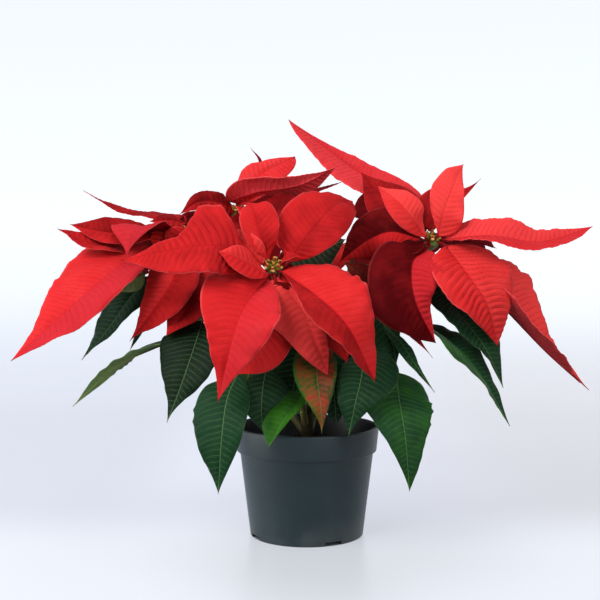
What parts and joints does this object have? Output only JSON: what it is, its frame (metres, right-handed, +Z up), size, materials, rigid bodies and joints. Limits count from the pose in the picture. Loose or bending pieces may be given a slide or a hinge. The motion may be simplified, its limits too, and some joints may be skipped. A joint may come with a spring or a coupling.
{
  "type": "potted poinsettia",
  "caption": "Bushy poinsettia with long red bracts round small yellow-green flower cups and hanging dark green leaves, in a round tapered plastic nursery pot of soil.",
  "frame": {"origin": "middle of the pot's foot, on the surface that the pot stands on", "axes": "+Z up along the pot's axis, -Y towards the best side of the plant, +X to the right seen from that side"},
  "size_m": [0.4949, 0.3862, 0.3826],
  "materials": {
    "pot": "moulded dark grey-green plastic with a soft sheen",
    "soil": null,
    "wood": "green-brown woody stem",
    "leaf": "soft dark green leaf with paler veins; leather stands in for leaf tissue",
    "bract": "velvety bright red bract with fine ribs; leather stands in for leaf tissue",
    "cyathia": "yellow-green flower cups; leather stands in for plant tissue"
  },
  "bodies": {
    "root": {"pot": "pot", "soil": "soil", "main_stem": "wood", "leafy_stem_front": "leaf", "bracts_front": "bract", "cyathia_front": "cyathia", "leafy_stem_right": "leaf", "bracts_right": "bract", "cyathia_right": "cyathia", "leafy_stem_left": "leaf", "bracts_left": "bract", "cyathia_left": "cyathia", "leafy_stem_back_left": "leaf", "bracts_back_left": "bract", "cyathia_back_left": "cyathia", "leafy_stem_back_right": "leaf", "bracts_back_right": "bract", "cyathia_back_right": "cyathia"}
  },
  "joints": []
}
